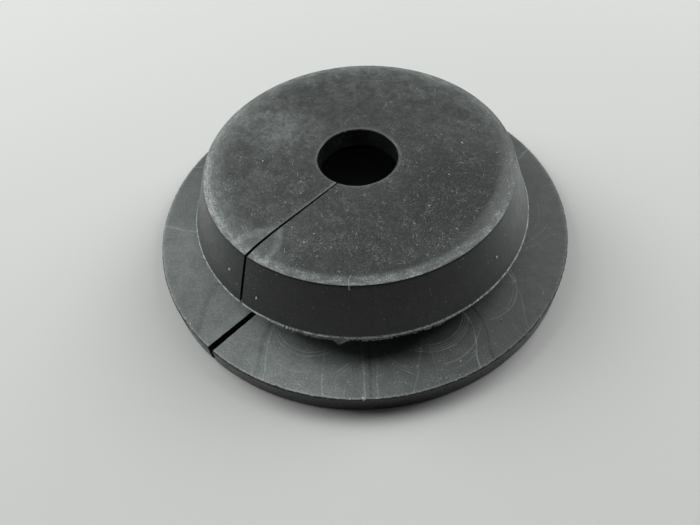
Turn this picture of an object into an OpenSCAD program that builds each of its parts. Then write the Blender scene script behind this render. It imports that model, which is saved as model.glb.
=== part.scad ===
// Split rubber grommet: one moulding with a wide flange, a neck, a tapered head
// and a hollow underside. It snaps into a round hole in a panel and seals the line
// that runs through its bore. The slit lets it open to go round the line.
// Millimetres, +Z up. The origin is on the bore's axis, at the flange's underside.

/* [Flange] */
// Diameter of the flange
flange_d = 63.5; // [58:0.5:80]
// Thickness of the flange
flange_t = 3.2; // [2:0.1:5]
// Rounding of the flange's two outer edges
flange_edge_r = 0.2; // [0.1:0.05:0.6]

/* [Neck and groove] */
// Diameter of the neck, which fills the hole in the panel
neck_d = 44.5; // [40:0.5:48]
// Height of the groove between flange and head, which takes the panel
groove_h = 4.2; // [2.5:0.1:8]
// Fillet in the groove's two inner corners
groove_r = 0.5; // [0.2:0.1:1]
// Wall of the neck at the mouth of the hollow underside
neck_wall = 3.2; // [2:0.1:5]

/* [Head] */
// Diameter of the head at its lower edge, the lip that holds the panel
head_low_d = 50.4; // [49:0.2:56]
// Diameter of the head at its crisp top rim
rim_d = 44.7; // [42.5:0.1:48]
// Height of the head
head_h = 8.1; // [6:0.1:14]
// Width of the band inside the rim, where the flat top falls off a little
rim_band_w = 2; // [1:0.1:3]
// How far the rim lies below the flat top
rim_drop = 0.4; // [0.1:0.05:1]
// Rounding of the rim
rim_r = 0.25; // [0.1:0.05:0.6]
// Rounding where the flat top turns down into the band
crown_r = 1.5; // [0.5:0.1:1.6]

/* [Bore and underside] */
// Diameter of the bore that the line passes through
bore_d = 11.4; // [6:0.2:18]
// Thickness of the web that carries the bore
web_t = 3; // [2:0.1:5]
// Rounding of the bore's upper edge
bore_edge_r = 0.35; // [0.1:0.05:0.8]
// Draft of the hollow's wall, in degrees
hollow_draft = 2; // [0.5:0.5:5]
// Fillet where the hollow's wall meets the web
hollow_r = 1.5; // [0.5:0.1:3]

/* [Slit] */
// Gap of the slit at the bore
slit_bore_w = 0.2; // [0.15:0.05:0.6]
// Gap of the slit at the head's lip
slit_lip_w = 0.45; // [0.3:0.05:1]
// Gap of the slit in the flange, where it meets the neck
slit_neck_w = 0.8; // [0.6:0.05:1.5]
// Gap of the slit at the flange's outer edge
slit_flange_w = 1; // [0.8:0.05:2]
// How far the slit runs beside the bore's axis
slit_offset = 1.6; // [0:0.1:2.5]

/* [Hidden] */
$fn = 128;

flange_rad = flange_d / 2;
neck_rad = neck_d / 2;
bore_rad = bore_d / 2;
lip_z = flange_t + groove_h;
top_z = lip_z + head_h;
web_z = top_z - web_t;
hollow_mouth_rad = neck_rad - neck_wall;
hollow_top_rad = hollow_mouth_rad - web_z * tan(hollow_draft);
// How far the slit's cutter runs past the flange and past both faces
cut_past = 1;

// Half section of the moulding, anticlockwise from the hollow's mouth.
// Each corner is [radius from the axis, height, rounding].
SECTION = [
    [hollow_mouth_rad, 0, 0],
    [flange_rad, 0, flange_edge_r],
    [flange_rad, flange_t, flange_edge_r],
    [neck_rad, flange_t, groove_r],
    [neck_rad, lip_z, groove_r],
    [head_low_d / 2, lip_z, 0],
    [rim_d / 2, top_z - rim_drop, rim_r],
    [rim_d / 2 - rim_band_w, top_z, crown_r],
    [bore_rad, top_z, bore_edge_r],
    [bore_rad, web_z, 0],
    [hollow_top_rad, web_z, hollow_r]
];

function place(corner) = [corner[0], corner[1]];
function unit(v) = v / norm(v);
function cross2(a, b) = a[0] * b[1] - a[1] * b[0];
function before(c, i) = place(c[(i + len(c) - 1) % len(c)]) - place(c[i]);
function after(c, i) = place(c[(i + 1) % len(c)]) - place(c[i]);
// Half of the angle between the two edges that meet at a corner
function half_angle(c, i) = acos(unit(before(c, i)) * unit(after(c, i))) / 2;
function is_outer(c, i) = cross2(after(c, i), before(c, i)) > 0;
// Where the rounding leaves the edges, and the centre of its arc
function tangent_len(c, i) = c[i][2] / tan(half_angle(c, i));
function tangents(c, i) = [
    place(c[i]) + unit(before(c, i)) * tangent_len(c, i),
    place(c[i]) + unit(after(c, i)) * tangent_len(c, i)
];
function arc_centre(c, i) =
    place(c[i]) + unit(unit(before(c, i)) + unit(after(c, i))) * c[i][2] / sin(half_angle(c, i));

// A polygon with true arcs at its corners: each corner is cut or filled straight
// across, then a circle rounds it out, or hollows it where the corner is an inner one.
module rounded_polygon(corners) {
    outline = [
        for (i = [0 : len(corners) - 1])
            each corners[i][2] > 0 ? tangents(corners, i) : [place(corners[i])]
    ];
    difference() {
        union() {
            polygon(outline);
            corner_arcs(corners, true);
        }
        corner_arcs(corners, false);
    }
}

module corner_arcs(corners, outer) {
    for (i = [0 : len(corners) - 1])
        if (corners[i][2] > 0 && is_outer(corners, i) == outer)
            translate(arc_centre(corners, i))
                circle(r = corners[i][2], $fn = 64);
}

// A wedge that widens at a steady rate, from one gap at one radius to another gap at another.
// It runs along the blade's way between two radii, up to the given height.
module wedge(first, last, near_rad, near_w, far_rad, far_w, height) {
    spread = (far_w - near_w) / (far_rad - near_rad);
    first_w = near_w + spread * (first - near_rad);
    last_w = near_w + spread * (last - near_rad);
    translate([slit_offset, 0, -cut_past])
        linear_extrude(height + cut_past)
            polygon([
                [-first_w / 2, -first],
                [-last_w / 2, -last],
                [last_w / 2, -last],
                [first_w / 2, -first]
            ]);
}

// The blade's cut, from the bore out through web, head, neck and flange.
// It has sprung open, and furthest in the flange, where nothing holds it.
module slit() {
    reach = flange_rad + cut_past;
    wedge(0, reach, bore_rad, slit_bore_w, head_low_d / 2, slit_lip_w, top_z + cut_past);
    wedge(
        hollow_mouth_rad - cut_past, reach, neck_rad, slit_neck_w,
        flange_rad, slit_flange_w, flange_t + groove_h / 2
    );
}

module grommet() {
    color("#33383a")
        difference() {
            rotate_extrude()
                rounded_polygon(SECTION);
            slit();
        }
}

grommet();
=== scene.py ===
import math
import random

import bmesh
import bpy
from mathutils import Matrix, Vector, noise


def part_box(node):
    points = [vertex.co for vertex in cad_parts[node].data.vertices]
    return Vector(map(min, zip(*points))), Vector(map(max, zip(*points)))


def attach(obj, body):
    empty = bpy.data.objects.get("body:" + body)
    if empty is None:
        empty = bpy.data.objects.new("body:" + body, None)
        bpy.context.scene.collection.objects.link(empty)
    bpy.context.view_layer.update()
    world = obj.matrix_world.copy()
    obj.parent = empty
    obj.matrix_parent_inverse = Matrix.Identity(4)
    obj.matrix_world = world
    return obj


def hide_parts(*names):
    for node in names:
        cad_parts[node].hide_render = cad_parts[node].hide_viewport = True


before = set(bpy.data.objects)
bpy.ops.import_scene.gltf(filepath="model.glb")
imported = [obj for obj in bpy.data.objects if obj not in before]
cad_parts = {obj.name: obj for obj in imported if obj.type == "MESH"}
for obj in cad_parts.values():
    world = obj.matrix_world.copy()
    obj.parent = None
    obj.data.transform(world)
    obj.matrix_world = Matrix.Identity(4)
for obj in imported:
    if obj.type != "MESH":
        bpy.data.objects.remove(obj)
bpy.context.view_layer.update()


# ---------------------------------------------------------------------------
# The moulding. One piece of black EPDM rubber, pressed in a heated mould: a
# wide flange, a neck that grips the panel, a tapered head and a hollow
# underside. Its half section is drawn, spun round the bore and then slit.
# ---------------------------------------------------------------------------
MM = 0.001
high_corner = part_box("grommet")[1]
FLANGE_R = high_corner.x / MM
TOP_Z = high_corner.z / MM
FLANGE_T = 3.2
FLANGE_CORNER = 0.2
NECK_R = 22.25
LIP_R = 25.2
LIP_Z = 7.4
RIM_R = 22.35
RIM_DROP = 0.4
RIM_CORNER = 0.25
BAND_W = 2.0
FLAT_R = 18.8
BORE_R = 5.7
WEB_T = 3.0
HOLLOW_MOUTH_R = 19.05
HOLLOW_TOP_R = 18.61
SPIN_STEPS = 720
# In mm, how near counts as the same place, and how near vertices are merged.
SAME_PLACE = 0.01
MERGED = 0.001

# Each corner of the half section: radius and height in mm, the rounding's
# radius, the rounding's facets, and the cuts along the edge to the next corner.
# The band inside the rim has a wide rounding. The point at FLAT_R lies on the
# flat top, so that the cuts across the top start clear of it.
SECTION = [
    (HOLLOW_MOUTH_R, 0.0, 0.0, 0, 5),
    (FLANGE_R, 0.0, FLANGE_CORNER, 3, 4),
    (FLANGE_R, FLANGE_T, FLANGE_CORNER, 3, 14),
    (NECK_R, FLANGE_T, 0.5, 4, 5),
    (NECK_R, LIP_Z, 0.5, 4, 4),
    (LIP_R, LIP_Z, 0.0, 0, 12),
    (RIM_R, TOP_Z - RIM_DROP, RIM_CORNER, 4, 0),
    (RIM_R - BAND_W, TOP_Z, 14.0, 10, 0),
    (FLAT_R, TOP_Z, 0.0, 0, 20),
    (BORE_R, TOP_Z, 0.35, 4, 5),
    (BORE_R, TOP_Z - WEB_T, 0.0, 0, 6),
    (HOLLOW_TOP_R, TOP_Z - WEB_T, 1.5, 5, 6),
]


def point(radius, height):
    """A point of the half section, which is drawn in the XZ plane."""
    return Vector((radius, 0.0, height)) * MM


def deselect_objects():
    """Deselects everything, so that an operator acts only on what is selected next."""
    for item in bpy.context.selected_objects:
        item.select_set(False)


def select_in_edit(mesh_object, verts=None, edges=None):
    """Selects only the vertices or edges for which the given test is true, in edit mode."""
    bpy.ops.mesh.select_all(action="DESELECT")
    cage = bmesh.from_edit_mesh(mesh_object.data)
    if verts:
        bpy.ops.mesh.select_mode(type="VERT")
        for vert in cage.verts:
            vert.select = verts(vert)
    if edges:
        bpy.ops.mesh.select_mode(type="EDGE")
        for edge in cage.edges:
            edge.select = edges(edge)
    cage.select_flush_mode()
    bmesh.update_edit_mesh(mesh_object.data)


def near(spot):
    """A test that is true for a vertex at that spot."""
    return lambda vert: (vert.co - spot).length < SAME_PLACE * MM


deselect_objects()
bpy.ops.mesh.primitive_plane_add(size=MM, location=point(*SECTION[0][:2]))
moulding = bpy.context.active_object
moulding.name = "rubber_moulding"
bpy.ops.object.mode_set(mode="EDIT")
bpy.ops.mesh.merge(type="CENTER")
for start, stop in zip(SECTION, SECTION[1:]):
    run = point(*stop[:2]) - point(*start[:2])
    bpy.ops.mesh.extrude_region_move(TRANSFORM_OT_translate={"value": run})
bpy.ops.mesh.select_all(action="SELECT")
bpy.ops.mesh.edge_face_add()
bpy.ops.object.mode_set(mode="OBJECT")
bpy.ops.object.transform_apply(location=True, rotation=True, scale=True)

# Cut the long edges up first, while they still run from corner to corner.
bpy.ops.object.mode_set(mode="EDIT")
for start, stop in zip(SECTION, SECTION[1:] + SECTION[:1]):
    ends = (near(point(*start[:2])), near(point(*stop[:2])))
    select_in_edit(
        moulding,
        edges=lambda edge: any(map(ends[0], edge.verts)) and any(map(ends[1], edge.verts)),
    )
    bpy.ops.mesh.subdivide(number_cuts=start[4])

# Round the corners. The bevel's offset runs along the edges, so it is worked
# out from the angle between them.
for i, (radius, height, rounding, facets, _) in enumerate(SECTION):
    if not rounding:
        continue
    here = point(radius, height)
    ahead = point(*SECTION[(i + 1) % len(SECTION)][:2]) - here
    behind = point(*SECTION[i - 1][:2]) - here
    setback = rounding * MM / math.tan(ahead.angle(behind) / 2)
    select_in_edit(moulding, verts=near(here))
    bpy.ops.mesh.bevel(
        offset=setback, offset_type="OFFSET", segments=facets, profile=0.5, affect="VERTICES"
    )
bpy.ops.mesh.select_all(action="SELECT")
bpy.ops.mesh.select_mode(type="FACE")
bpy.ops.mesh.delete(type="ONLY_FACE")
bpy.ops.object.mode_set(mode="OBJECT")

# Turn the section round the bore.
lathe = moulding.modifiers.new("lathe", "SCREW")
lathe.axis = "Z"
lathe.angle = math.tau
lathe.steps = lathe.render_steps = SPIN_STEPS
lathe.use_merge_vertices = True
lathe.merge_threshold = MERGED * MM
bpy.ops.object.modifier_apply(modifier=lathe.name)
bpy.ops.object.mode_set(mode="EDIT")
bpy.ops.mesh.select_mode(type="VERT")
bpy.ops.mesh.select_all(action="SELECT")
bpy.ops.mesh.remove_doubles(threshold=MERGED * MM)
bpy.ops.mesh.normals_make_consistent(inside=False)
bpy.ops.object.mode_set(mode="OBJECT")

# The flange was trimmed by hand, so its upper outer corner is a little ragged.
RAGGED = 0.03
bpy.ops.object.mode_set(mode="EDIT")
corner_r = FLANGE_R - FLANGE_CORNER - SAME_PLACE
select_in_edit(
    moulding,
    verts=lambda vert: vert.co.xy.length > corner_r * MM and vert.co.z > FLANGE_T / 2 * MM,
)
bpy.ops.transform.vertex_random(offset=RAGGED * MM, uniform=1.0, normal=0.0, seed=7)
bpy.ops.object.mode_set(mode="OBJECT")

# The slit. A blade went in at the flange's edge and ran to the bore, a little
# beside its axis. The rubber has sprung open, furthest in the flange.
SLIT_X = 1.6
SLIT_BORE_GAP = 0.2
SLIT_LIP_GAP = 0.45
SLIT_NECK_GAP = 0.8
SLIT_FLANGE_GAP = 1.0
SLIT_PAST = 1.0
FLANGE_CUT_TOP = (FLANGE_T + LIP_Z) / 2


def head_gap(radius):
    """The slit's width in the head, at that distance from the bore's axis, in mm."""
    spread = (SLIT_LIP_GAP - SLIT_BORE_GAP) / (LIP_R - BORE_R)
    return SLIT_BORE_GAP + spread * (radius - BORE_R)


def flange_gap(radius):
    """The slit's width in the flange, at that distance from the bore's axis, in mm."""
    spread = (SLIT_FLANGE_GAP - SLIT_NECK_GAP) / (FLANGE_R - NECK_R)
    return SLIT_NECK_GAP + spread * (radius - NECK_R)


def cut_slit(piece, gap, first, top):
    """Cuts a piece with a tapered blade, from that distance outwards and up to that height."""
    last = FLANGE_R + SLIT_PAST
    deselect_objects()
    bpy.ops.mesh.primitive_cube_add(size=1)
    blade = bpy.context.active_object
    blade.scale = (MM, (last - first) * MM, (top + SLIT_PAST) * MM)
    blade.location = Vector((SLIT_X, -(first + last) / 2, (top - SLIT_PAST) / 2)) * MM
    bpy.ops.object.transform_apply(location=True, rotation=True, scale=True)
    bpy.ops.object.mode_set(mode="EDIT")
    for end in (first, last):
        place = -end * MM
        select_in_edit(blade, verts=lambda vert: abs(vert.co.y - place) < SAME_PLACE * MM)
        bpy.ops.transform.resize(value=(gap(end), 1, 1), center_override=(SLIT_X * MM, place, 0))
    bpy.ops.object.mode_set(mode="OBJECT")
    deselect_objects()
    bpy.context.view_layer.objects.active = piece
    piece.select_set(True)
    cut = piece.modifiers.new("slit", "BOOLEAN")
    cut.operation = "DIFFERENCE"
    cut.solver = "EXACT"
    cut.object = blade
    bpy.ops.object.modifier_apply(modifier=cut.name)
    bpy.data.objects.remove(blade)


cut_slit(moulding, head_gap, 0, TOP_Z + SLIT_PAST)
cut_slit(moulding, flange_gap, HOLLOW_MOUTH_R - SLIT_PAST, FLANGE_CUT_TOP)


# The two corners beside the slit have lost their support and droop a little
# at the head's rim, and the rubber round them is drawn along.
DROOP = 0.12
DROOP_REACH = 4.0
RIM_FOOT = TOP_Z - RIM_DROP - RIM_CORNER - 0.05
slit_edge_x = head_gap(RIM_R) / 2 + 2 * SAME_PLACE
bpy.ops.object.mode_set(mode="EDIT")
select_in_edit(
    moulding,
    verts=lambda vert: abs(vert.co.x / MM - SLIT_X) < slit_edge_x
    and vert.co.y < -(RIM_R - BAND_W) * MM
    and vert.co.z > RIM_FOOT * MM,
)
bpy.ops.transform.translate(
    value=(0, 0, -DROOP * MM),
    use_proportional_edit=True,
    use_proportional_connected=True,
    proportional_edit_falloff="SMOOTH",
    proportional_size=DROOP_REACH * MM,
)
bpy.ops.object.mode_set(mode="OBJECT")
bpy.ops.object.shade_smooth_by_angle(angle=math.radians(35))


def srgb(code):
    """A colour written as sRGB hex, turned to the linear values that the nodes take."""
    parts = [int(code[i : i + 2], 16) / 255 for i in (1, 3, 5)]
    return tuple(p / 12.92 if p <= 0.04045 else ((p + 0.055) / 1.055) ** 2.4 for p in parts) + (1.0,)


def add(tree, kind, *inputs, feeds=None, **settings):
    """Adds a node with its settings. Inputs fill its sockets in order, feeds by name or number.

    Each of them is a value, a socket, or a node that stands for its first output.
    """
    node = tree.nodes.new("ShaderNode" + kind)
    for name, value in settings.items():
        setattr(node, name, value)
    for socket, source in [*enumerate(inputs), *(feeds or {}).items()]:
        if isinstance(source, bpy.types.Node):
            source = source.outputs[0]
        if isinstance(source, bpy.types.NodeSocket):
            tree.links.new(source, node.inputs[socket])
        else:
            node.inputs[socket].default_value = source
    return node


# Moulded EPDM rubber, black with carbon. It is dark and faintly glossy where the mould's skin
# is clean, and greyer where wax has bloomed on the faces that lie flat. Fine dust clings to it,
# and its corners are scuffed pale. Some of its grey is painted sheen and a painted highlight.
RUBBER_BLACK = srgb("#1b1d1d")
DUST_GREY = srgb("#c4cdcb")
RUBBER_IOR = 1.43

rubber = bpy.data.materials.new("moulded EPDM rubber")
rubber.use_nodes = True
tree = rubber.node_tree
tree.nodes.clear()


# A Map Range node with this setting goes smoothly from one value to another, or from 0 to 1.
SMOOTH = {"interpolation_type": "SMOOTHSTEP"}


# A mask says how much of something there is at each place, and 1 is all of it. The three
# functions below add their nodes to the tree at hand.
def times(first, *others):
    """The product of masks."""
    for other in others:
        first = add(tree, "Math", first, other, operation="MULTIPLY")
    return first


def total(first, *others):
    """The sum of masks, held between 0 and 1."""
    for other in others:
        first = add(tree, "Math", first, other, operation="ADD", use_clamp=True)
    return first


def cloud(size_mm, start=0.35, end=0.65, place=None, detail=3.0, rough=0.55):
    """Patches about size_mm across: 0 where the noise is under start, 1 where it is over end."""
    place = place or place_mm
    feeds = {"Vector": place, "Scale": 1 / size_mm, "Detail": detail, "Roughness": rough}
    return add(tree, "MapRange", add(tree, "TexNoise", feeds=feeds), start, end, **SMOOTH)


coords = add(tree, "TexCoord")
place_mm = add(tree, "VectorMath", coords.outputs["Object"], feeds={"Scale": 1 / MM}, operation="SCALE")
x_mm, y_mm, z_mm = add(tree, "SeparateXYZ", place_mm).outputs
flat_place = add(tree, "VectorMath", place_mm, (1, 1, 0), operation="MULTIPLY")
radius = add(tree, "VectorMath", flat_place, operation="LENGTH").outputs["Value"]
way_out = add(tree, "VectorMath", flat_place, operation="NORMALIZE")
turn = add(tree, "Math", y_mm, x_mm, operation="ARCTAN2")
angle = add(tree, "Math", turn, operation="DEGREES")
facing_up = add(tree, "SeparateXYZ", coords.outputs["Normal"]).outputs["Z"]

# The faces that are told apart: the head's top with the band inside its rim, the flange's
# upper face, and the head's side. All else is the mould's clean skin.
flat_up = add(tree, "MapRange", facing_up, 0.8, 0.95, **SMOOTH)
up_at_rim = add(tree, "MapRange", z_mm, RIM_FOOT, RIM_FOOT + 0.15, **SMOOTH)
on_top = times(up_at_rim, flat_up)
low_down = add(tree, "MapRange", z_mm, FLANGE_T + 0.5, FLANGE_T + 0.3, **SMOOTH)
past_neck = add(tree, "MapRange", radius, NECK_R, NECK_R + 0.3, **SMOOTH)
on_flange = times(low_down, flat_up, past_neck)
above_lip = add(tree, "MapRange", z_mm, LIP_Z, LIP_Z + 0.1, **SMOOTH)
far_out = add(tree, "MapRange", radius, NECK_R - 1.0, NECK_R, **SMOOTH)
not_flat = add(tree, "MapRange", flat_up, 1, 0, **SMOOTH)
on_side = times(above_lip, far_out, not_flat)

# The layers on the rubber follow. Each is a cover, from 0 for bare rubber to 1 for dust grey,
# and a pair of covers is the thinnest and the thickest that its pattern goes to.

# Wax bloom lies in soft clouds and small blotches.
clouds = cloud(12.0, 0.3, 0.7)
blotches = cloud(2.2, 0.3, 0.7, detail=5.0)
small_blotches = cloud(0.7, 0.34, 0.66, detail=4.0, rough=0.65)
speckle = cloud(0.25, 0.35, 0.7, rough=0.7)

# On the top it is thicker towards -X, which is painted sheen that lightens that side of the
# top. It is also thicker in a round patch near that rim and thinner in a patch opposite.
TOP_BLOOM = (0.036, 0.068)
PALE_PATCH_PLACE = (-14.5, -4.5, TOP_Z)
PALE_PATCH_R = 6.5
PALE_PATCH_COVER = 0.04
THIN_PATCH_PLACE = (14.5, 3.0, TOP_Z)
THIN_PATCH_R = 11.0
THIN_PATCH_SHARE = 0.15
ACROSS_WAY = (0.97, -0.2, 0)
across = add(tree, "VectorMath", place_mm, ACROSS_WAY, operation="DOT_PRODUCT").outputs["Value"]
# Painted sheen: the top's cover rises towards -X and falls towards +X.
painted_sheen_lean = add(tree, "MapRange", across, -20.0, 18.0, 1.55, 0.55, **SMOOTH)
to_pale_patch = add(tree, "VectorMath", place_mm, PALE_PATCH_PLACE, operation="DISTANCE").outputs["Value"]
pale_patch = add(tree, "MapRange", to_pale_patch, PALE_PATCH_R, PALE_PATCH_R * 0.4, 0, PALE_PATCH_COVER, **SMOOTH)
to_thin_patch = add(tree, "VectorMath", place_mm, THIN_PATCH_PLACE, operation="DISTANCE").outputs["Value"]
thin_patch = add(tree, "MapRange", to_thin_patch, THIN_PATCH_R * 0.3, THIN_PATCH_R, THIN_PATCH_SHARE, 1, **SMOOTH)
haze = add(tree, "MapRange", clouds, 0, 1, *TOP_BLOOM, **SMOOTH)
mottle = add(tree, "MapRange", blotches, 0, 1, 0.7, 1.3, **SMOOTH)
fine_mottle = add(tree, "MapRange", small_blotches, 0, 1, 0.72, 1.28, **SMOOTH)
top_bloom_and_sheen = times(on_top, painted_sheen_lean, add(tree, "Math", haze, pale_patch, operation="ADD"), thin_patch)
top_bloom_and_sheen = times(top_bloom_and_sheen, mottle, fine_mottle)

# On the flange it is thickest beside the slit. There it is partly bloom and partly painted sheen,
# which lightens that side of the flange.
FLANGE_BLOOM = (0.11, 0.14)
THICKEST_ANGLE = -95
from_thickest = add(tree, "Math", angle, THICKEST_ANGLE, operation="SUBTRACT")
from_thickest = add(tree, "Math", from_thickest, operation="ABSOLUTE")
# Partly painted sheen: the flange's cover is raised round -95 degrees.
bloom_and_sheen_near_slit = add(tree, "MapRange", from_thickest, 75, 22, 0.82, 3.25, **SMOOTH)
haze = add(tree, "MapRange", clouds, 0, 1, *FLANGE_BLOOM, **SMOOTH)
mottle = add(tree, "MapRange", blotches, 0, 1, 0.92, 1.08, **SMOOTH)
flange_bloom_and_sheen = times(on_flange, bloom_and_sheen_near_slit, haze, mottle)

# On the side the cover is painted sheen, standing in for the reflections that the side shows
# where it turns away from the camera. There is none towards +X -Y, the side that faces the
# camera. It is thinner at the back and thicker towards +X.
SIDE_SHEEN = 0.17
CAMERA_SIDE_WAY = (0.67, -0.74, 0)
WORN_WAY = (0.5, -0.87, 0)
to_camera_side = add(tree, "VectorMath", way_out, CAMERA_SIDE_WAY, operation="DOT_PRODUCT").outputs["Value"]
to_worn = add(tree, "VectorMath", way_out, WORN_WAY, operation="DOT_PRODUCT").outputs["Value"]
# Painted sheen: none where the side faces the camera, more as it turns away from it.
turned_from_camera = add(tree, "MapRange", to_camera_side, 0.85, 0.1, 0, SIDE_SHEEN, **SMOOTH)
thin_at_back = add(tree, "MapRange", to_worn, -0.9, -0.3, 0.5, 1, **SMOOTH)
sheen_towards_x = add(tree, "MapRange", x_mm, -15.0, 10.0, 0.7, 1.5, **SMOOTH)
side_sheen = times(on_side, turned_from_camera, thin_at_back, sheen_towards_x)
specked = add(tree, "MapRange", speckle, 0, 1, 0.85, 1.2, **SMOOTH)
bloom_and_sheen = times(total(top_bloom_and_sheen, flange_bloom_and_sheen, side_sheen), specked)

# Close pale grains on the worn band inside the rim. They crowd at the rim, most of all towards
# -Y, and end crisply where the side begins. Away from +X they reach further in.
RIM_LINE = (0.22, 0.56)
RIM_BAND = (0.07, 0.20)
RIM_LINE_R = (20.6, 21.9)
RIM_BAND_R = (18.2, 21.0)
worn = add(tree, "MapRange", to_worn, -0.5, 0.4, 0.35, 1, **SMOOTH)
rim_grain = cloud(0.2, 0.36, 0.74, detail=4.0, rough=0.75)
grain = add(tree, "MapRange", rim_grain, 0, 1, *RIM_LINE, **SMOOTH)
rim_line = times(add(tree, "MapRange", radius, *RIM_LINE_R, **SMOOTH), worn, grain)
grain = add(tree, "MapRange", rim_grain, 0, 1, *RIM_BAND, **SMOOTH)
away_from_x = add(tree, "MapRange", across, 12.0, 3.0, **SMOOTH)
thin_at_back = add(tree, "MapRange", to_worn, -0.9, 0.0, 0.6, 1.2, **SMOOTH)
rim_band = times(add(tree, "MapRange", radius, *RIM_BAND_R, **SMOOTH), away_from_x, grain, thin_at_back)

# Streaks run round the rim, so their pattern is drawn out that way.
round_rim = add(tree, "Math", angle, 0.12, operation="MULTIPLY")
streak_place = add(tree, "CombineXYZ", round_rim, radius)
streaks = cloud(0.5, 0.3, 0.7, place=streak_place)
streaks = add(tree, "MapRange", streaks, 0, 1, 0.7, 1.25, **SMOOTH)
patchy = add(tree, "MapRange", cloud(5.0, 0.3, 0.7), 0, 1, 0.75, 1.1, **SMOOTH)
scuff = times(on_top, add(tree, "Math", rim_line, rim_band, operation="ADD"), streaks, patchy)

# The lip and the flange's outer corner are rubbed to a thin pale line, broken into grains.
LIP_LINE = (0.15, 1.1)
FLANGE_LINE = (0.0, 0.22)
corner_grain = cloud(0.35, 0.3, 0.62, rough=0.7)
from_below = add(tree, "MapRange", z_mm, LIP_Z - 0.1, LIP_Z, **SMOOTH)
to_above = add(tree, "MapRange", z_mm, LIP_Z + 0.32, LIP_Z + 0.18, **SMOOTH)
at_lip = add(tree, "MapRange", radius, LIP_R - 0.35, LIP_R - 0.2, **SMOOTH)
grain = add(tree, "MapRange", corner_grain, 0, 1, *LIP_LINE, **SMOOTH)
lip_line = times(worn, from_below, to_above, at_lip, grain)
at_corner = add(tree, "MapRange", radius, FLANGE_R - 0.55, FLANGE_R - 0.15, **SMOOTH)
grain = add(tree, "MapRange", corner_grain, 0, 1, *FLANGE_LINE, **SMOOTH)
corners = total(lip_line, times(on_flange, at_corner, grain))

# The bore's edge is rubbed pale, and so is the slit's edge on its -X side, more so near the bore.
BORE_EDGE = 0.07
SLIT_EDGE = (0.05, 0.11)
at_bore = add(tree, "MapRange", radius, BORE_R + 0.7, BORE_R + 0.25, **SMOOTH)
bore_edge = times(on_top, at_bore, BORE_EDGE)
widening = (head_gap(1) - head_gap(0)) / 2
half_gap = add(tree, "Math", radius, widening, head_gap(0) / 2, operation="MULTIPLY_ADD")
from_slit = add(tree, "Math", SLIT_X, x_mm, operation="SUBTRACT")
from_slit = add(tree, "Math", from_slit, half_gap, operation="SUBTRACT")
near_edge = add(tree, "MapRange", from_slit, 0.5, 0.1, **SMOOTH)
this_side = add(tree, "MapRange", from_slit, -0.1, 0.0, **SMOOTH)
past_bore = add(tree, "MapRange", y_mm, -BORE_R + 1.0, -BORE_R, **SMOOTH)
fades_out = add(tree, "MapRange", radius, 20.0, 9.0, *SLIT_EDGE, **SMOOTH)
slit_edge = times(on_top, near_edge, this_side, past_bore, fades_out)

# A pointed arch of paler cover on the top, round the drooping corners beside the slit: a painted
# highlight where the top bends down there.
ARCH_HIGHLIGHT = (0.11, 0.18)
ARCH_PLACE = (1.8, -22.3, 0)
ARCH_HALF = (2.9, 5.4, 1)
ARCH_POINTEDNESS = 1.5
from_arch = add(tree, "VectorMath", place_mm, ARCH_PLACE, operation="SUBTRACT")
from_arch = add(tree, "VectorMath", from_arch, ARCH_HALF, operation="DIVIDE")
from_arch = add(tree, "VectorMath", from_arch, operation="ABSOLUTE")
arch_x, arch_y = add(tree, "SeparateXYZ", from_arch).outputs[:2]
arch_x = add(tree, "Math", arch_x, ARCH_POINTEDNESS, operation="POWER")
arch_y = add(tree, "Math", arch_y, ARCH_POINTEDNESS, operation="POWER")
arch_size = add(tree, "Math", arch_x, arch_y, operation="ADD")
wobble = add(tree, "MapRange", blotches, 0, 1, -0.12, 0.12, **SMOOTH)
arch_size = add(tree, "Math", arch_size, wobble, operation="ADD")
inner_side = add(tree, "MapRange", arch_size, 0.52, 0.95, **SMOOTH)
outer_side = add(tree, "MapRange", arch_size, 1.38, 1.02, **SMOOTH)
mottle = add(tree, "MapRange", small_blotches, 0, 1, *ARCH_HIGHLIGHT, **SMOOTH)
# Painted highlight: the arch is made paler.
arch_highlight = times(on_top, inner_side, outer_side, mottle)

# Flow marks on the flange. The rubber ran out past the neck in tongues. Each left nested arcs
# that bulge outwards, and a weld line where it met the next.
WELD_RUN = (LIP_R - 2.0, FLANGE_R + 1.0)
WELD_CORE = 0.2
# A weld line: its angles at the two radii of WELD_RUN, its half width in mm, and how much paler
# or darker it is.
WELD_LINES = [
    (-106, -93, 0.9, -0.04),
    (-78.5, -73, 0.5, -0.05),
    (-77, -70.5, 0.18, 0.08),
    (-58, -55.5, 0.15, 0.07),
    (-46, -45, 0.18, 0.08),
    (-43.8, -43.6, 0.35, -0.04),
    (-41.5, -42, 0.15, 0.05),
    (-26.5, -34.5, 0.15, 0.06),
    (-24.5, -28, 0.15, 0.04),
    (-9, -17, 0.16, 0.13),
    (-5, -13, 0.3, -0.03),
    (15, -1, 0.18, 0.09),
    (34, 21, 0.5, 0.025),
    (9, 20, 0.5, 0.02),
    (62, 70, 0.3, 0.06),
    (104, 96, 0.2, 0.07),
    (137, 143, 0.3, 0.06),
    (-166, -158, 0.2, 0.07),
    (-128, -134, 0.3, 0.05),
]
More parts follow.
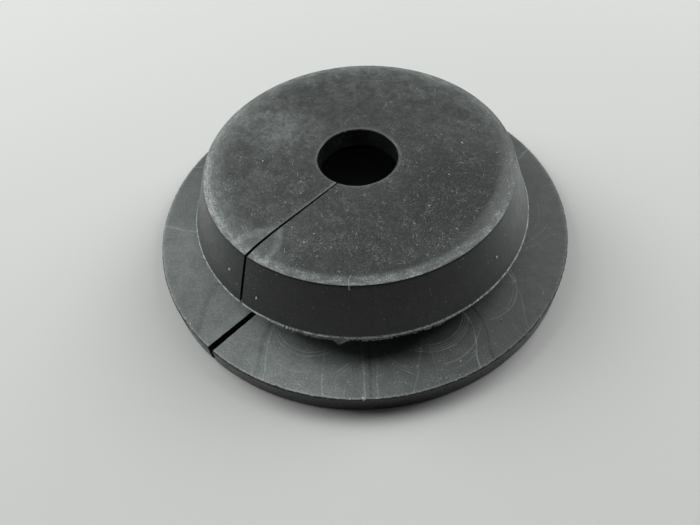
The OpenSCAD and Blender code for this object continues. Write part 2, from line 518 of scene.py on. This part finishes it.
# An arc: the angle of its tongue's middle, its radius there, where it starts and ends beside
# the middle in degrees, and how much paler it is.
FLOW_ARCS = [
    (-65, 26.45, -10, 9, 0.09),
    (-65, 25.85, -10, 9, 0.08),
    (-65, 28.9, -7, 6, 0.03),
    (-65, 30.5, 12, 19, 0.06),
    (-65, 31.2, 13, 19, 0.05),
    (-21, 27.05, -9, 12, 0.10),
    (-21, 26.7, -8, 12, 0.07),
    (-21, 26.35, -7, 12, 0.06),
    (-21, 25.95, -6, 12, 0.08),
    (-21, 29.1, -3, 12, 0.07),
    (-21, 30.1, -3, 7, 0.04),
    (-21, 30.8, -18, -12, 0.08),
    (-21, 31.4, -17, -12, 0.06),
    (2, 27.7, -7, 14, 0.10),
    (2, 27.2, -3, 13, 0.06),
    (43, 30.8, -19, -9, 0.07),
    (43, 30.3, -18, -11, 0.06),
    (43, 29.4, -16, -6, 0.08),
    (43, 28.9, -14, -5, 0.05),
    (43, 27.9, -9, 3, 0.06),
    (120, 26.6, -10, 9, 0.07),
    (120, 27.3, -8, 10, 0.05),
    (178, 26.9, -9, 9, 0.07),
    (-148, 26.4, -9, 9, 0.07),
    (-148, 27.0, -9, 5, 0.05),
]
# Each arc bends back by this much, in mm for the square of a degree beside its middle.
ARC_BEND = 0.0165
ARC_HALF_WIDTH = 0.16
ARC_CORE = 0.05
ARC_TAPER = 1.5
# The radius at which the degrees beside a weld line are turned to mm.
MARKS_R = 28.5
FLOW_CONTRAST = 2.3
wander = add(tree, "MapRange", cloud(7.0, 0.25, 0.75), 0, 1, -0.5, 0.5, **SMOOTH)
sway = add(tree, "Math", angle, wander, operation="ADD")
marks = 0.0
for lip_angle, edge_angle, half_width, strength in WELD_LINES:
    line_at = add(tree, "MapRange", radius, *WELD_RUN, lip_angle, edge_angle, **SMOOTH)
    off_line = add(tree, "Math", sway, line_at, operation="SUBTRACT")
    off_line = add(tree, "Math", off_line, operation="ABSOLUTE")
    off_line = add(tree, "Math", off_line, math.radians(MARKS_R), operation="MULTIPLY")
    line = add(tree, "MapRange", off_line, half_width, half_width * WELD_CORE, **SMOOTH)
    marks = add(tree, "Math", line, strength, marks, operation="MULTIPLY_ADD")
for middle, arc_r, start, end, strength in FLOW_ARCS:
    beside = add(tree, "Math", sway, middle, operation="SUBTRACT")
    squared = add(tree, "Math", beside, beside, operation="MULTIPLY")
    front = add(tree, "Math", squared, ARC_BEND, radius, operation="MULTIPLY_ADD")
    off_line = add(tree, "Math", front, arc_r, operation="SUBTRACT")
    off_line = add(tree, "Math", off_line, operation="ABSOLUTE")
    line = add(tree, "MapRange", off_line, ARC_HALF_WIDTH, ARC_CORE, **SMOOTH)
    started = add(tree, "MapRange", beside, start - ARC_TAPER, start + ARC_TAPER, **SMOOTH)
    not_ended = add(tree, "MapRange", beside, end + ARC_TAPER, end - ARC_TAPER, **SMOOTH)
    line = times(line, started, not_ended)
    marks = add(tree, "Math", line, strength, marks, operation="MULTIPLY_ADD")
patchy = add(tree, "MapRange", cloud(1.8, 0.3, 0.65), 0, 1, 0.5, 1.1, **SMOOTH)
marks = times(marks, patchy, FLOW_CONTRAST)

# Between the marks, faint broad fans run outwards, drawn out along the radius.
outwards = add(tree, "Math", radius, 0.08, operation="MULTIPLY")
fan_place = add(tree, "CombineXYZ", sway, outwards)
fans = cloud(4.0, 0.3, 0.7, place=fan_place, detail=1.0)
fans = add(tree, "Math", fans, 0.03, -0.015, operation="MULTIPLY_ADD")
flow = times(on_flange, add(tree, "Math", fans, marks, operation="ADD"))

# Dust clings in separate grains. The real ones are finer, and are drawn as coarse as they need
# to show. They are not round, so their pattern is warped.
DUST_WARP = 0.22
DUST_WARP_SIZE = 0.4
warp = add(tree, "TexNoise", feeds={"Vector": place_mm, "Scale": 1 / DUST_WARP_SIZE, "Detail": 1.0})
warp_by = add(tree, "VectorMath", warp.outputs["Color"], feeds={"Scale": DUST_WARP}, operation="SCALE")
dust_place = add(tree, "VectorMath", place_mm, warp_by, operation="ADD")
FEW_BRIGHT = 1.6


def specks(cell_mm, speck_mm, share, seed):
    """Grains of dust, one at most in a cell, in that share of the cells. Few are bright."""
    feeds = {"Vector": dust_place, "W": seed, "Scale": 1 / cell_mm}
    cells = add(tree, "TexVoronoi", feeds=feeds, voronoi_dimensions="4D")
    lot, bulk, shade = add(tree, "SeparateColor", cells.outputs["Color"]).outputs
    size = add(tree, "Math", bulk, speck_mm / cell_mm, operation="MULTIPLY")
    dot = add(tree, "Math", cells.outputs["Distance"], size, operation="LESS_THAN")
    chosen = add(tree, "Math", lot, share, operation="LESS_THAN")
    return times(dot, chosen, add(tree, "Math", shade, FEW_BRIGHT, operation="POWER"))


# It lies on what faces up, and thicker towards +X -Y, where it has been left alone longest.
DUST_WAY = (0.75, -0.66, 0)
FINE_DUST = 0.8
COARSE_DUST = 1.7
POWDER = 0.35
DUST_COVER = 0.58
to_dusty = add(tree, "VectorMath", place_mm, DUST_WAY, operation="DOT_PRODUCT").outputs["Value"]
thicker = add(tree, "MapRange", to_dusty, -22.0, 8.0, 0.15, 1, **SMOOTH)
patchy = add(tree, "MapRange", cloud(2.5, 0.42, 0.7), 0, 1, 0.35, 1, **SMOOTH)
lies_on = add(tree, "MapRange", facing_up, -0.9, 0.9, 0.1, 1, **SMOOTH)
fine_dust = times(specks(cell_mm=0.3, speck_mm=0.13, share=0.8, seed=0.0), FINE_DUST)
coarse_dust = times(specks(cell_mm=1.1, speck_mm=0.19, share=0.45, seed=3.0), COARSE_DUST)
powder = times(cloud(0.2, 0.45, 0.7, detail=2.0, rough=0.7), POWDER, flat_up)
dust = times(total(fine_dust, coarse_dust, powder), lies_on, thicker, patchy, DUST_COVER)

# Whatever covers the rubber dulls it too, but less on the side, where the cover is painted
# sheen. The skin's relief is finer in fact, and is drawn as coarse as it needs to show.
CLEAN_ROUGHNESS = (0.24, 0.36)
SKIN_GRAIN = 0.18
SKIN_RELIEF = 0.015
# The cover holds painted sheen and a painted highlight besides bloom, scuffs, flow marks and dust.
cover = total(bloom_and_sheen, scuff, corners, bore_edge, slit_edge, arch_highlight, flow, dust)
colour = add(tree, "Mix", cover, feeds={6: RUBBER_BLACK, 7: DUST_GREY}, data_type="RGBA").outputs[2]
polish = add(tree, "MapRange", cloud(1.2, 0.2, 0.8, detail=5.0), 0, 1, *CLEAN_ROUGHNESS, **SMOOTH)
dulling = add(tree, "MapRange", on_side, 0, 1, 2.0, 0.4, **SMOOTH)
roughness = total(polish, times(cover, dulling))
skin = add(tree, "TexNoise", feeds={"Vector": place_mm, "Scale": 1 / SKIN_GRAIN, "Detail": 4.0})
relief = add(tree, "Bump", feeds={"Height": skin, "Strength": 0.3, "Distance": SKIN_RELIEF * MM})
finish = {"Base Color": colour, "Roughness": roughness, "IOR": RUBBER_IOR, "Normal": relief}
shader = add(tree, "BsdfPrincipled", feeds=finish)
add(tree, "OutputMaterial", feeds={"Surface": shader})

moulding.data.materials.clear()
moulding.data.materials.append(rubber)
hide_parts("grommet")
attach(moulding, "root")


# ---------------------------------------------------------------------------
# Mould flash: the thin skin of rubber that seeped between the mould's halves
# and stands out from the head's lower lip. Trimming left it frayed and torn.
# ---------------------------------------------------------------------------
FLASH_T = 0.1
FLASH_STEPS = 1500
FLASH_RINGS = 3
FLASH_RING_W = 0.1
# How far it reaches into the lip, and how far it stands out where it is trimmed, where it is
# torn, at the nub that trimming left, and at the very least. All are in mm.
FLASH_ROOT = 0.25
FLASH_TRIMMED = 0.08
FLASH_TORN = 0.30
NUB_REACH = 0.42
FLASH_LEAST = 0.02
# Where it is torn and where the nub is, in degrees from +X.
FLASH_TORN_FROM = -76
FLASH_TORN_TO = -16
FLASH_TEARS_OVER = 8
NUB_ANGLE = -52
NUB_WIDTH = 2.0
# The size of its frays and of its waves in mm, and the frays' depth.
FRAY_SIZE = 0.3
FRAY_TRIMMED = 0.05
FRAY_TORN = 0.22
WAVE_SIZE = 2.5
# It sags by this much in mm for the square of a mm outwards, up to a limit.
FLASH_SAG = 0.35
FLASH_SAG_LIMIT = 0.5


def flash_reach(turn):
    """How far the flash stands out from the lip in mm, at an angle in degrees from +X."""
    along = Vector((LIP_R * math.cos(math.radians(turn)), LIP_R * math.sin(math.radians(turn)), 0))
    frays = noise.fractal(along / FRAY_SIZE, 0.6, 2.0, 4)
    waves = noise.noise(along / WAVE_SIZE)
    from_end = min(turn - FLASH_TORN_FROM, FLASH_TORN_TO - turn)
    torn = max(0.0, min(1.0, from_end / FLASH_TEARS_OVER))
    nub = max(0.0, 1 - abs(turn - NUB_ANGLE) / NUB_WIDTH) ** 0.45
    trimmed_reach = FLASH_TRIMMED * (1 + 0.7 * waves)
    torn_reach = (FLASH_TORN - FLASH_TRIMMED) * torn * (1 + 0.4 * waves)
    fray_depth = FRAY_TRIMMED + (FRAY_TORN - FRAY_TRIMMED) * torn
    return max(FLASH_LEAST, trimmed_reach + torn_reach + fray_depth * frays + NUB_REACH * nub)


root_r = (LIP_R - FLASH_ROOT) * MM
deselect_objects()
bpy.ops.mesh.primitive_circle_add(
    vertices=FLASH_STEPS, radius=root_r, location=(0, 0, (LIP_Z + FLASH_T / 2) * MM)
)
bpy.ops.object.transform_apply()
flash = bpy.context.active_object
flash.name = "mould_flash"
bpy.ops.object.mode_set(mode="EDIT")
for ring in range(FLASH_RINGS):
    growth = 1 + FLASH_RING_W / (LIP_R + FLASH_RING_W * (ring - 1))
    bpy.ops.mesh.extrude_edges_move()
    bpy.ops.transform.resize(value=(growth, growth, 1))
bpy.ops.object.mode_set(mode="OBJECT")

# Each ring is then drawn out to its share of the reach there, and sags.
outer_r = max(vertex.co.xy.length for vertex in flash.data.vertices)
for vertex in flash.data.vertices:
    share = (vertex.co.xy.length - root_r) / (outer_r - root_r)
    turn = math.degrees(math.atan2(vertex.co.y, vertex.co.x))
    reach = (FLASH_ROOT + flash_reach(turn)) * share
    sag = min(FLASH_SAG * reach**2, FLASH_SAG_LIMIT)
    place = vertex.co.xy.normalized() * (root_r + reach * MM)
    vertex.co = (place.x, place.y, vertex.co.z - sag * MM)
wall = flash.modifiers.new("wall", "SOLIDIFY")
wall.thickness = FLASH_T * MM
wall.offset = 0
bpy.ops.object.modifier_apply(modifier=wall.name)
cut_slit(flash, head_gap, 0, TOP_Z)

# Torn EPDM rubber: ragged and matt, so it holds dust and looks grey and grainy against the
# black beneath it. Next to the lip it is rubbed as pale as the lip itself. Its grains are
# drawn as coarse as they need to show.
TORN_GRAIN = 0.12
TORN_COVER = (0.05, 0.5)
TORN_RELIEF = 0.03
TORN_ROUGHNESS = 0.75
ROOT_COVER = (0.1, 0.9)
torn = bpy.data.materials.new("torn EPDM flash")
torn.use_nodes = True
tree = torn.node_tree
tree.nodes.clear()
coords = add(tree, "TexCoord")
place_mm = add(tree, "VectorMath", coords.outputs["Object"], feeds={"Scale": 1 / MM}, operation="SCALE")
flat_place = add(tree, "VectorMath", place_mm, (1, 1, 0), operation="MULTIPLY")
radius = add(tree, "VectorMath", flat_place, operation="LENGTH").outputs["Value"]
grains = cloud(TORN_GRAIN, 0.35, 0.7, detail=4.0, rough=0.7)
grain = add(tree, "MapRange", grains, 0, 1, *TORN_COVER, **SMOOTH)
patchy = add(tree, "MapRange", cloud(1.5, 0.3, 0.7), 0, 1, 0.5, 1, **SMOOTH)
at_root = add(tree, "MapRange", radius, LIP_R + 0.12, LIP_R, **SMOOTH)
corner_grain = cloud(0.35, 0.3, 0.62, rough=0.7)
root_grain = add(tree, "MapRange", corner_grain, 0, 1, *ROOT_COVER, **SMOOTH)
cover = total(times(at_root, root_grain), times(grain, patchy))
colour = add(tree, "Mix", cover, feeds={6: RUBBER_BLACK, 7: DUST_GREY}, data_type="RGBA").outputs[2]
relief = add(tree, "Bump", feeds={"Height": grains, "Strength": 0.6, "Distance": TORN_RELIEF * MM})
finish = {"Base Color": colour, "Roughness": TORN_ROUGHNESS, "IOR": 1.45, "Normal": relief}
shader = add(tree, "BsdfPrincipled", feeds=finish)
add(tree, "OutputMaterial", feeds={"Surface": shader})
flash.data.materials.append(torn)
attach(flash, "root")


# ---------------------------------------------------------------------------
# Lint: short cotton fibres that static holds on the rubber, and one longer
# hair over the rim. They are thin curves turned to mesh.
# ---------------------------------------------------------------------------
# Real cotton is a little finer, and is drawn as thick as it needs to show.
FIBRE_R = 0.013
FIBRE_HEIGHT = 0.8 * FIBRE_R
FIBRE_POINTS = 5
FIBRE_LENGTHS = (0.25, 0.75)
FIBRE_CURL = 0.25
FIBRES_ON_TOP = 190
FIBRES_ON_FLANGE = 40
# The half width beside the slit that stays clear of fibres. It widens by a share of the way
# past a distance from the bore's axis.
CLEAR_OF_SLIT = 2.0
CLEAR_WIDENS = 0.2
CLEAR_WIDENS_FROM = 12
chance = random.Random(11)

curve = bpy.data.curves.new("lint", "CURVE")
curve.dimensions = "3D"
curve.bevel_depth = FIBRE_R * MM
curve.bevel_resolution = 0
curve.resolution_u = 3
curve.use_fill_caps = True


def lay_fibre(points, thickness=1.0):
    """Lays one fibre through points in mm, that many times as thick as the cotton."""
    spline = curve.splines.new("POLY")
    spline.points.add(len(points) - 1)
    for point_on, place in zip(spline.points, points):
        point_on.co = (*(c * MM for c in place), 1)
        point_on.radius = thickness


def scatter(count, inner_r, outer_r, height):
    """Scatters curled fibres over a flat ring, clear of the slit."""
    while count:
        turn = chance.uniform(0, 2 * math.pi)
        out = math.sqrt(chance.uniform(inner_r**2, outer_r**2))
        x, y = out * math.cos(turn), out * math.sin(turn)
        clear = CLEAR_OF_SLIT + CLEAR_WIDENS * max(0, -y - CLEAR_WIDENS_FROM)
        if y < 0 and abs(x - SLIT_X) < clear:
            continue
        heading = chance.uniform(0, 2 * math.pi)
        curl = chance.uniform(-FIBRE_CURL, FIBRE_CURL)
        stride = chance.uniform(*FIBRE_LENGTHS) / (FIBRE_POINTS - 1)
        places = []
        for _ in range(FIBRE_POINTS):
            places.append((x, y, height + FIBRE_HEIGHT))
            x += math.cos(heading) * stride
            y += math.sin(heading) * stride
            heading += curl
        lay_fibre(places)
        count -= 1


scatter(FIBRES_ON_TOP, BORE_R + 1, RIM_R - BAND_W, TOP_Z)
scatter(FIBRES_ON_FLANGE, LIP_R + 0.5, FLANGE_R - 1, FLANGE_T)

# One longer fibre lies on the top, and the hair bends over the rim.
lay_fibre([(-3.3, -13.2, 15.52), (-2.9, -13.25, 15.53), (-2.4, -13.15, 15.53), (-2.1, -13.2, 15.52)])
lay_fibre(
    [
        (13.97, -15.57, 15.43),
        (14.1, -16.12, 15.42),
        (14.5, -16.72, 15.33),
        (14.85, -16.93, 14.98),
        (15.03, -16.98, 14.62),
    ],
    thickness=1.7,
)


DIRTY_WHITE = srgb("#8c8e8b")
CLEAN_WHITE = srgb("#ecece8")


def dusty_white(name, patch_mm):
    """A rough material that goes from dirty grey to near-white in patches of that size."""
    material = bpy.data.materials.new(name)
    material.use_nodes = True
    nodes = material.node_tree
    nodes.nodes.clear()
    place = add(nodes, "TexCoord").outputs["Object"]
    patches = add(nodes, "TexNoise", feeds={"Vector": place, "Scale": 1 / (patch_mm * MM)})
    colour = add(nodes, "Mix", patches, feeds={6: DIRTY_WHITE, 7: CLEAN_WHITE}, data_type="RGBA")
    finish = {"Base Color": colour.outputs[2], "Roughness": 0.9, "IOR": 1.45}
    shader = add(nodes, "BsdfPrincipled", feeds=finish)
    add(nodes, "OutputMaterial", feeds={"Surface": shader})
    return material


lint = bpy.data.objects.new("lint", curve)
bpy.context.scene.collection.objects.link(lint)
deselect_objects()
bpy.context.view_layer.objects.active = lint
lint.select_set(True)
bpy.ops.object.convert(target="MESH")
lint = bpy.context.active_object

# Cotton lint: a dull near-white, dirtier here and there.
cotton = dusty_white("cotton lint", patch_mm=2.0)
lint.data.materials.append(cotton)
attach(lint, "root")


# ---------------------------------------------------------------------------
# Grit: a few chips of pale quartz sand that cling to the rubber. Each is a
# small ball knocked out of shape.
# ---------------------------------------------------------------------------
CHIP_KNOCKED = 0.4
# Place and size of each chip in mm.
GRIT = [
    (-1.1, -23.72, 11.2, 0.20),
    (4.3, -23.9, 9.9, 0.16),
    (6.9, -23.4, 9.1, 0.10),
    (23.75, 1.3, 11.1, 0.22),
    (22.6, -5.2, 12.2, 0.10),
    (-17.5, -12.7, 15.3, 0.15),
    (9.5, 11.8, 15.5, 0.15),
    (14.4, 13.4, 15.5, 0.13),
    (12.1, 5.6, 15.5, 0.11),
    (13.8, -0.6, 15.5, 0.13),
    (-9.6, -9.7, 15.5, 0.13),
    (5.9, -14.2, 15.5, 0.13),
    (22.0, -22.6, 3.2, 0.23),
    (13.2, -28.1, 3.2, 0.13),
    (27.7, -10.1, 3.2, 0.14),
    (27.9, -1.4, 3.2, 0.13),
    (9.3, -23.45, 7.45, 0.20),
    (9.7, -23.35, 7.5, 0.14),
    (8.8, -23.7, 7.45, 0.13),
]
deselect_objects()
chips = []
for i, (x, y, z, size) in enumerate(GRIT):
    bpy.ops.mesh.primitive_ico_sphere_add(
        subdivisions=2, radius=size * MM, location=(x * MM, y * MM, z * MM)
    )
    bpy.ops.object.mode_set(mode="EDIT")
    bpy.ops.transform.vertex_random(
        offset=CHIP_KNOCKED * size * MM, uniform=1.0, normal=0.0, seed=i
    )
    bpy.ops.object.mode_set(mode="OBJECT")
    chips.append(bpy.context.active_object)
for chip in chips:
    chip.select_set(True)
bpy.ops.object.join()
bpy.ops.object.transform_apply(location=True, rotation=True, scale=True)
grit_chips = bpy.context.active_object
grit_chips.name = "grit"

# Quartz grit: frosted by wear, so as dull a white as the cotton, dirtier in smaller patches.
quartz = dusty_white("quartz grit", patch_mm=1.0)
grit_chips.data.materials.append(quartz)
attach(grit_chips, "root")


# ---------------------------------------------------------------------------
# The stage: a plain pale floor under three soft lamps. One stands behind and
# above, and one stands on each side of it. The room adds a weak even light.
# ---------------------------------------------------------------------------
# Angles in degrees. The distance, the point that the camera looks at and the lens are in mm.
CAMERA_AZIMUTH = 48.8
CAMERA_ELEVATION = 52.7
CAMERA_ROLL = 5.5
CAMERA_DISTANCE = 84.9
CAMERA_AIM = (7.1, -9.6, 6.0)
CAMERA_LENS = 30.34
CAMERA_SENSOR_W = 36


def from_sky(azimuth, elevation):
    """The direction towards a camera or a lamp at that azimuth and elevation, in degrees."""
    turn, rise = math.radians(azimuth), math.radians(elevation)
    return Vector(
        (math.sin(turn) * math.cos(rise), -math.cos(turn) * math.cos(rise), math.sin(rise))
    )


back = from_sky(CAMERA_AZIMUTH, CAMERA_ELEVATION)
camera = bpy.data.objects.new("camera", bpy.data.cameras.new("camera"))
bpy.context.scene.collection.objects.link(camera)
camera.location = (Vector(CAMERA_AIM) + back * CAMERA_DISTANCE) * MM
aim = back.to_track_quat("Z", "Y").to_matrix()
camera.rotation_euler = (aim @ Matrix.Rotation(math.radians(-CAMERA_ROLL), 3, "Z")).to_euler()
camera.data.lens = CAMERA_LENS
camera.data.sensor_width = CAMERA_SENSOR_W
camera.data.clip_start = 5 * MM
bpy.context.scene.camera = camera

# Each lamp's name, azimuth and elevation in degrees, distance, width and height in m, and power
# in W.
LAMPS = [
    ("rear_lamp", 238, 58, 0.45, 0.40, 0.40, 0.38),
    ("left_lamp", 290, 40, 0.45, 0.30, 0.25, 1.5),
    ("right_lamp", 168, 40, 0.45, 0.30, 0.25, 1.3),
]
for name, azimuth, elevation, distance, width, height, power in LAMPS:
    to_lamp = from_sky(azimuth, elevation)
    lamp = bpy.data.objects.new(name, bpy.data.lights.new(name, "AREA"))
    bpy.context.scene.collection.objects.link(lamp)
    lamp.data.shape = "RECTANGLE"
    lamp.data.size = width
    lamp.data.size_y = height
    lamp.data.energy = power
    lamp.location = to_lamp * distance
    lamp.rotation_euler = to_lamp.to_track_quat("Z", "Y").to_euler()

ROOM_LIGHT = 0.05
WALL_COLOUR = srgb("#dcdedc")
world = bpy.data.worlds.new("studio")
bpy.context.scene.world = world
world.use_nodes = True
world.node_tree.nodes.clear()
seen = add(world.node_tree, "LightPath").outputs["Is Camera Ray"]
glow = add(world.node_tree, "Background", feeds={"Color": srgb("#ffffff"), "Strength": ROOM_LIGHT})
wall = add(world.node_tree, "Background", feeds={"Color": WALL_COLOUR, "Strength": 1.0})
both = add(world.node_tree, "MixShader", seen, glow, wall)
add(world.node_tree, "OutputWorld", feeds={"Surface": both})

FLOOR_W = 3.0
deselect_objects()
bpy.ops.mesh.primitive_plane_add(size=FLOOR_W, location=(0, 0, 0))
floor = bpy.context.active_object
floor.name = "floor"

# Pale matt paper. Away from the part, the camera sees it fade into the wall's colour, between
# these two distances in m.
FADE_FROM = 0.06
FADE_TO = 0.24
paper = bpy.data.materials.new("pale matt paper")
paper.use_nodes = True
tree = paper.node_tree
tree.nodes.clear()
place = add(tree, "TexCoord").outputs["Object"]
distance = add(tree, "VectorMath", place, operation="LENGTH").outputs["Value"]
seen = add(tree, "LightPath").outputs["Is Camera Ray"]
sheet = add(tree, "BsdfPrincipled", feeds={"Base Color": srgb("#d2d4d2"), "Roughness": 0.9})
haze = add(tree, "Emission", feeds={"Color": WALL_COLOUR, "Strength": 1.0})
fade = times(seen, add(tree, "MapRange", distance, FADE_FROM, FADE_TO, **SMOOTH))
both = add(tree, "MixShader", fade, sheet, haze)
add(tree, "OutputMaterial", feeds={"Surface": both})
floor.data.materials.append(paper)

bpy.context.scene.view_settings.view_transform = "Standard"
